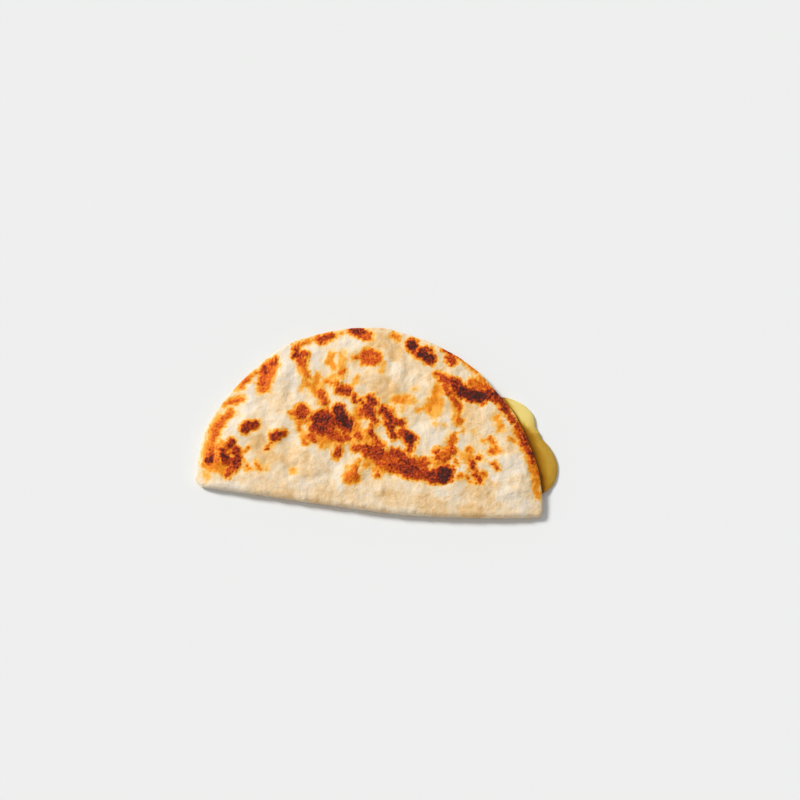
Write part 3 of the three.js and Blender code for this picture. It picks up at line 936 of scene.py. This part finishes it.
def cheese_rings(angle):
    """Distances and heights of all rings along every ray, from below round the front and back."""
    lower, upper = reach_inside(angle, False), reach_inside(angle, True)
    tip, body, landed = cheese_front(angle, lower, upper)
    between = (LAYER - OVERLAP + stuck_height(angle, body)) / 2
    edge_z = (1 - landed) * between + landed * 0.9
    rings = rings_below(lower, tip, body, landed, edge_z)
    return np.array(rings + rings_above(angle, upper, tip, body, edge_z))


print(len(cheese_rings(np.zeros(1))), "rings")

# %% Faces of the cheese
def cheese_faces(ring_count):
    """Faces between the rings, and a fan of triangles at each end, where a ring of no size is one
    vertex. Returns which vertices are kept, and the faces by their new numbers."""
    grid = np.arange(ring_count * RAYS).reshape(ring_count, RAYS)
    pairs = zip(grid[1:-2], grid[2:-1])
    walls = np.concatenate([ring_faces(before, after)[:, ::-1] for before, after in pairs])
    first, last = grid[0, 0], grid[-1, 0]
    below = np.stack([np.full(RAYS, first), np.roll(grid[1], -1), grid[1]], axis=-1)
    above = np.stack([np.full(RAYS, last), grid[-2], np.roll(grid[-2], -1)], axis=-1)
    kept = np.concatenate([[first], grid[1:-1].ravel(), [last]])
    renumber = np.zeros(grid.size, int)
    renumber[kept] = np.arange(kept.size)
    return kept, [face for part in (walls, below, above) for face in renumber[part].tolist()]


print(len(cheese_faces(24)[1]), "faces for 24 rings")

# %% The cheese
angle = np.linspace(-np.pi, np.pi, RAYS, endpoint=False)
angle = angle - 0.55 * np.sin(angle)  # rays lie closer together towards the tongue
rings = cheese_rings(angle)
cheese_x = CENTRE[0] + rings[:, 0] * np.cos(angle)
cheese_y = CENTRE[1] + rings[:, 0] * np.sin(angle)
ripple = 0.16 * unevenness(cheese_x, cheese_y, 6.0, 75)
outside = np.hypot(cheese_x - CENTRE[0], cheese_y - CENTRE[1]) - reach_inside(angle, True)
cheese_z = rings[:, 1] + ripple * smooth_step(0.5, 3, outside) * (rings[:, 1] > 1.2)

# Painted shade and stain: the cheese is coloured darker next to the dough's open edge, partly as
# toasted fat and partly as painted shade under the overhanging edge, and the whole lower lobe is
# painted half dark as painted shade, because it lies in the shadow of that edge.
lower_lobe = 1 - smooth_step(3.0, 11.0, np.degrees(angle))
near_edge = 1 - smooth_step(0.0, 3.0 + 9.0 * lower_lobe, outside)
stain_and_shade = np.maximum(near_edge, 0.5 * lower_lobe).ravel()
kept, faces = cheese_faces(len(rings))
places = np.stack([cheese_x, cheese_y, cheese_z], axis=-1).reshape(-1, 3)[kept]
cheese = add_piece("melted_cheese", places, faces, {"stain_and_shade": stain_and_shade[kept]})
print("cheese:", len(cheese.data.vertices), "vertices,", len(cheese.data.polygons), "faces")

# %% [markdown]
# ## Helpers for the materials
#
# Colours are easiest to choose as the hex values that a screen shows, but a shader adds and
# multiplies light, so they are turned to linear first. Patterns are sized in millimetres.

# %% Colours, sizes and nodes
def colour(code):
    """Linear red, green, blue and alpha of an sRGB hex value: c / 12.92 up to 0.04045, and above
    that ((c + 0.055) / 1.055) to the power 2.4."""
    channels = [int(code[i:i + 2], 16) / 255 for i in (1, 3, 5)]
    return [c / 12.92 if c <= 0.04045 else ((c + 0.055) / 1.055) ** 2.4 for c in channels] + [1]


def per_metre(size_mm):
    """A noise texture's scale, its number of lumps in a metre, from the size of one lump."""
    return 1 / (size_mm * MM)


def add_node(tree, kind, sockets=None, **settings):
    """Adds a node to a tree. settings are its properties. sockets are its inputs by name or
    number, each a plain value or the output of another node that is linked to it."""
    made = tree.nodes.new("ShaderNode" + kind)
    for name, value in settings.items():
        setattr(made, name, value)
    for name, value in (sockets or {}).items():
        if isinstance(value, bpy.types.NodeSocket):
            tree.links.new(value, made.inputs[name])
        else:
            made.inputs[name].default_value = value
    return made


def set_stops(ramp, stops):
    """Gives a colour ramp its stops, each a place from 0 to 1 and a hex value."""
    elements = ramp.color_ramp.elements
    while len(elements) < len(stops):
        elements.new(0.5)
    for element, (place, code) in zip(elements, stops):
        element.position = place
        element.color = colour(code)


def new_material(name):
    """A material with an empty tree, and that tree."""
    material = bpy.data.materials.new(name)
    material.use_nodes = True
    material.node_tree.nodes.clear()
    return material, material.node_tree


print("white as linear:", colour("#ffffff")[:3])

# %% [markdown]
# ## Toasted flour dough
#
# Wheat dough is pale and matt, with a little light passing through its skin. It varies from floury
# white to a greasy cream, in soft blotches about a centimetre wide, and some of its whitest places
# are painted highlights. Where the pan touched it, it goes through gold, orange and red brown to
# nearly black, and the change is grainy, because each blister of a millimetre or two browns on its
# own. So the heat at a vertex is roughened here by noise of that size before it picks a colour.
# The index of refraction is that of starch and fat, and the specular level is half the usual one,
# because the surface is dry and floury.

# %% Heat of the dough
BLISTER = 1.4  # mm, the grain of a browned patch
BLOTCH = 4.0  # mm, floury and greasy places
CRUMB = 3.0  # mm, pits and lumps
FLOUR = 0.6  # mm. Flour is finer than 0.2 mm, so it is drawn coarser to show


def roughened_heat(tree, centred):
    """The vertex value browning plus the grain, times how hot it is. Returns how hot, and that."""
    heat = add_node(tree, "Attribute", attribute_name="browning").outputs["Fac"]
    hot = add_node(tree, "MapRange", {
        "Value": heat, "From Min": 0.30, "From Max": 0.62, "To Max": 1.25}).outputs["Result"]
    rough = add_node(tree, "Math", {0: centred, 1: hot, 2: heat}, operation="MULTIPLY_ADD")
    return hot, rough.outputs[0]


print("grain of", BLISTER, "mm is a noise scale of", round(per_metre(BLISTER)))

# %% Colour of the dough
PALE = [(0.0, "#ecdcc6"), (0.3, "#f1ddbf"), (0.6, "#f1d3a8"), (1.0, "#e6ba7c")]
# The last stop, a greyer brown than the one before, is partly the char's own colour and partly
# painted sheen on it.
BROWNED = [
    (0.00, "#f3dbac"), (0.10, "#f9d186"), (0.20, "#fab84c"), (0.30, "#f49618"), (0.42, "#e46c02"),
    (0.54, "#cf4e00"), (0.68, "#b53a00"), (0.80, "#932904"), (0.92, "#661a0b"), (1.00, "#4a1d14"),
]


def dough_colour(tree, place, centred, rough_heat):
    """The pale colours by the vertex value warmth, whose whitest places are partly painted
    highlights, with blotches and flecks, and over them the browned colours, which take over between
    a heat of 0.05 and 0.22."""
    warmth = add_node(tree, "Attribute", attribute_name="warmth").outputs["Fac"]
    soft = add_node(tree, "TexNoise", {
        "Vector": place, "Scale": per_metre(BLOTCH), "Detail": 4.0, "Roughness": 0.6})
    blotches = add_node(tree, "Math", {0: soft.outputs["Fac"], 1: -0.5}, operation="ADD")
    mixed = add_node(
        tree, "Math", {0: blotches.outputs[0], 1: 0.8, 2: warmth}, operation="MULTIPLY_ADD")
    flecks = add_node(
        tree, "Math", {0: centred, 1: 0.8, 2: mixed.outputs[0]}, operation="MULTIPLY_ADD")
    pale = add_node(tree, "ValToRGB", {"Fac": flecks.outputs[0]})
    set_stops(pale, PALE)
    browned = add_node(tree, "ValToRGB", {"Fac": rough_heat})
    set_stops(browned, BROWNED)
    amount = add_node(tree, "MapRange", {"Value": rough_heat, "From Min": 0.05, "From Max": 0.22})
    return add_node(tree, "Mix", {
        "Factor": amount.outputs["Result"], "A": pale.outputs["Color"], "B": browned.outputs["Color"],
    }, data_type="RGBA").outputs["Result"]


print(len(PALE), "pale colours and", len(BROWNED), "browned ones")

# %% Bump of the dough
BUMP_HEIGHT = 0.7 * MM  # of the fine relief that isn't in the mesh


def dough_bump(tree, place, grain, hot):
    """Crumb and a little flour everywhere, and the grain on top, higher where it is hot."""
    crumb = add_node(tree, "TexNoise", {"Vector": place, "Scale": per_metre(CRUMB), "Detail": 3.0})
    fine = add_node(tree, "TexNoise", {"Vector": place, "Scale": per_metre(FLOUR), "Detail": 2.0})
    scorch = add_node(tree, "Math", {0: hot, 1: 1.1, 2: 0.35}, operation="MULTIPLY_ADD")
    ground = add_node(tree, "Math", {
        0: fine.outputs["Fac"], 1: 0.25, 2: crumb.outputs["Fac"]}, operation="MULTIPLY_ADD")
    height = add_node(tree, "Math", {
        0: grain, 1: scorch.outputs[0], 2: ground.outputs[0]}, operation="MULTIPLY_ADD")
    return add_node(tree, "Bump", {
        "Height": height.outputs[0], "Strength": 0.9, "Distance": BUMP_HEIGHT}).outputs["Normal"]


print("bump of", BUMP_HEIGHT, "m")

# %% Tortilla material
def toasted_dough():
    """Colour, gloss and bump of the dough. Scorched dough is a little less glossy than pale."""
    material, tree = new_material("toasted_flour_dough")
    place = add_node(tree, "TexCoord").outputs["Object"]
    grain = add_node(tree, "TexNoise", {
        "Vector": place, "Scale": per_metre(BLISTER), "Detail": 3.0, "Roughness": 0.6}).outputs["Fac"]
    centred = add_node(tree, "Math", {0: grain, 1: -0.5}, operation="ADD").outputs[0]
    hot, rough_heat = roughened_heat(tree, centred)
    roughness = add_node(tree, "MapRange", {
        "Value": rough_heat, "From Max": 0.9, "To Min": 0.55, "To Max": 0.6}).outputs["Result"]
    shader = add_node(tree, "BsdfPrincipled", {
        "Base Color": dough_colour(tree, place, centred, rough_heat),
        "Normal": dough_bump(tree, place, grain, hot),
        "Roughness": roughness, "IOR": 1.44, "Specular IOR Level": 0.25, "Subsurface Weight": 0.12,
        "Subsurface Radius": (1.0, 0.55, 0.3), "Subsurface Scale": 1.5 * MM,
    })
    add_node(tree, "OutputMaterial", {"Surface": shader.outputs["BSDF"]})
    return material


tortilla.data.materials.append(toasted_dough())
print("tortilla material:", tortilla.data.materials[0].name)

# %% [markdown]
# ## Melted cheese
#
# Melted cheese is smooth and a little oily, and light goes some millimetres into it, which rounds
# off its shading. Where it comes out from under the dough it is coloured darker, partly as toasted
# fat and partly as painted shade of the dough's edge, and its lower lobe is painted darker as shade.
# Its index of refraction, 1.4, is between those of water and fat.

# %% Cheese material
FAT_POOL = 7.0  # mm, paler and deeper yellow
DIMPLE = 1.2  # mm, in the cooled skin
# The amber end is reached where the cheese is stained and where shade is painted on it.
CHEESE = [(0.0, "#f3db84"), (0.3, "#dfbb55"), (0.6, "#c3942a"), (0.85, "#a87204"), (1.0, "#925800")]


def melted_cheese():
    """Pale yellow to amber by a vertex value of fat stain and painted shade, with slow variation."""
    material, tree = new_material("melted_cheese")
    place = add_node(tree, "TexCoord").outputs["Object"]
    stain_and_shade = add_node(tree, "Attribute", attribute_name="stain_and_shade").outputs["Fac"]
    slow = add_node(tree, "TexNoise", {
        "Vector": place, "Scale": per_metre(FAT_POOL), "Detail": 3.0}).outputs["Fac"]
    uneven = add_node(tree, "Math", {0: slow, 1: 0.3, 2: -0.12}, operation="MULTIPLY_ADD").outputs[0]
    uneven_stain_and_shade = add_node(tree, "Math", {0: stain_and_shade, 1: uneven}, operation="ADD").outputs[0]
    yellow = add_node(tree, "ValToRGB", {"Fac": uneven_stain_and_shade})
    set_stops(yellow, CHEESE)
    fine = add_node(tree, "TexNoise", {
        "Vector": place, "Scale": per_metre(DIMPLE), "Detail": 2.0}).outputs["Fac"]
    bump = add_node(tree, "Bump", {
        "Height": fine, "Strength": 0.15, "Distance": 0.2 * MM}).outputs["Normal"]
    shader = add_node(tree, "BsdfPrincipled", {
        "Base Color": yellow.outputs["Color"], "Roughness": 0.55, "Normal": bump, "IOR": 1.4,
        "Specular IOR Level": 0.25, "Subsurface Weight": 0.35,
        "Subsurface Radius": (1.0, 0.6, 0.2), "Subsurface Scale": 2.5 * MM,
    })
    add_node(tree, "OutputMaterial", {"Surface": shader.outputs["BSDF"]})
    return material


cheese.data.materials.append(melted_cheese())
print("cheese material:", cheese.data.materials[0].name)

# %% [markdown]
# ## What rides on what
#
# Food has no joints, so there is one body. Each piece stands for the plain solid of its name.

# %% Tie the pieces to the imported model
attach(tortilla, "root")
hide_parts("tortilla")
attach(cheese, "root")
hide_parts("cheese")
print("tortilla and cheese ride on root")

# %% [markdown]
# ## Floor, light and camera
#
# The floor is plain and nearly white. One broad lamp from the upper left gives soft shadows that
# fall to the right, and a pale sky fills them. The camera looks down steeply with a long lens.

# %% Floor
def studio_floor(half_side=4.0):
    """A plain square of pale matt paint."""
    mesh = bpy.data.meshes.new("floor")
    corners = [(x * half_side, y * half_side, 0) for x, y in ((-1, -1), (1, -1), (1, 1), (-1, 1))]
    mesh.from_pydata(corners, [], [(0, 1, 2, 3)])
    material, tree = new_material("pale_paint")
    shader = add_node(tree, "BsdfPrincipled", {"Base Color": colour("#eeefee"), "Roughness": 0.9})
    add_node(tree, "OutputMaterial", {"Surface": shader.outputs["BSDF"]})
    mesh.materials.append(material)
    floor = bpy.data.objects.new("floor", mesh)
    bpy.context.scene.collection.objects.link(floor)
    return floor


studio_floor()

# %% Light
AIM = Vector((FOLD_MIDDLE + (12.9, 68.6, 4.0)) * MM)  # what lamp and camera point at


def add_sun(name, place, spread, power):
    """A far, even lamp that shines from a place towards the food. Its spread in degrees is how
    broad it looks from the food, and makes the shadows soft."""
    data = bpy.data.lights.new(name, "SUN")
    data.angle, data.energy = math.radians(spread), power
    lamp = bpy.data.objects.new(name, data)
    lamp.location = place
    lamp.rotation_euler = (AIM - Vector(place)).to_track_quat("-Z", "Y").to_euler()
    bpy.context.scene.collection.objects.link(lamp)
    return lamp


add_sun("key", (-2.0, 1.15, 1.8), 18, 3.05)
sky = bpy.data.worlds.new("sky")
sky.use_nodes = True
sky.node_tree.nodes["Background"].inputs["Color"].default_value = colour("#ffffff")
sky.node_tree.nodes["Background"].inputs["Strength"].default_value = 0.40
bpy.context.scene.world = sky
bpy.context.scene.view_settings.view_transform = "Standard"
print("one lamp and the sky, aimed at", [round(value, 3) for value in AIM])

# %% Camera
LENS = 180.0
ACROSS = 469.0 * MM  # width of what the camera takes in, at the food
ELEVATION, TURN = math.radians(75.5), math.radians(5.36)
camera_data = bpy.data.cameras.new("camera")
camera_data.lens, camera_data.sensor_width = LENS, 36.0
camera = bpy.data.objects.new("camera", camera_data)
toward = Vector((
    -math.sin(TURN) * math.cos(ELEVATION),
    math.cos(TURN) * math.cos(ELEVATION),
    -math.sin(ELEVATION),
))
distance = ACROSS * LENS / camera_data.sensor_width
camera.location = AIM - toward * distance
camera.rotation_euler = toward.to_track_quat("-Z", "Y").to_euler()
bpy.context.scene.collection.objects.link(camera)
bpy.context.scene.camera = camera
print(f"camera {distance:.3f} m away")
